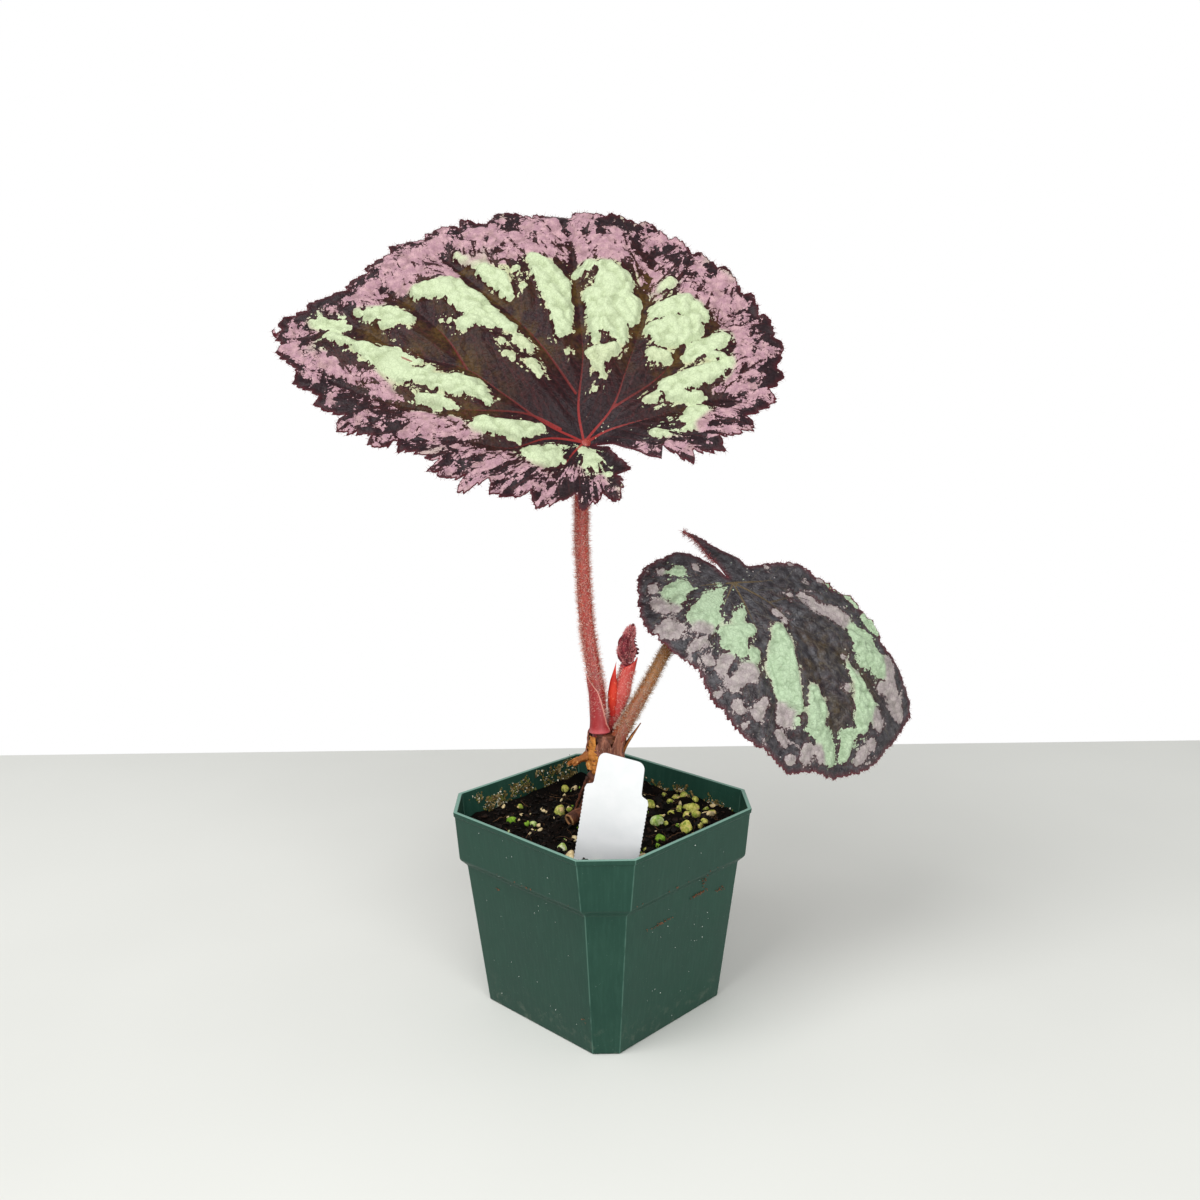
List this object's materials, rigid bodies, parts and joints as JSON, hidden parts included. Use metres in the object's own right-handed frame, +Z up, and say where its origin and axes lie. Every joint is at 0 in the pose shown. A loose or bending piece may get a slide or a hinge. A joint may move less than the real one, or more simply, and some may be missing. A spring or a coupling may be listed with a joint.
{
  "type": "potted rex begonia",
  "caption": "Rex begonia with oblique, toothed, blotched leaves and a folded young shoot on a short rhizome, in a square nursery pot with a plain plant label; a decorative house plant.",
  "frame": {"origin": "middle of the pot's flat base, on the surface that the pot stands on", "axes": "+Z up the plant; -Y is the side that the leaves face, where a cut corner of the pot points; +X towards the small leaf"},
  "size_m": [0.262, 0.1251, 0.3257],
  "materials": {
    "pot": "satin",
    "soil": "matte",
    "rhizome": "matte",
    "dry_tissue": "matte",
    "large_stalk": "satin",
    "small_stalk": "satin",
    "large_blade": "satin",
    "small_blade": "satin",
    "stipule": "satin",
    "shoot": "satin",
    "young_blade": "matte",
    "label": "satin"
  },
  "bodies": {
    "root": {"pot": "pot", "soil": "soil", "rhizome": "rhizome", "papery_scale": "dry_tissue", "dead_stalk": "dry_tissue", "dry_scale": "dry_tissue", "stalk_large": "large_stalk", "stalk_small": "small_stalk", "stalk_sheath": "stipule", "leaf_large": "large_blade", "leaf_small": "small_blade", "shoot_stalk": "shoot", "shoot_sheath": "shoot", "shoot_stipule": "stipule", "shoot_leaf": "young_blade", "label": "label"}
  },
  "joints": []
}
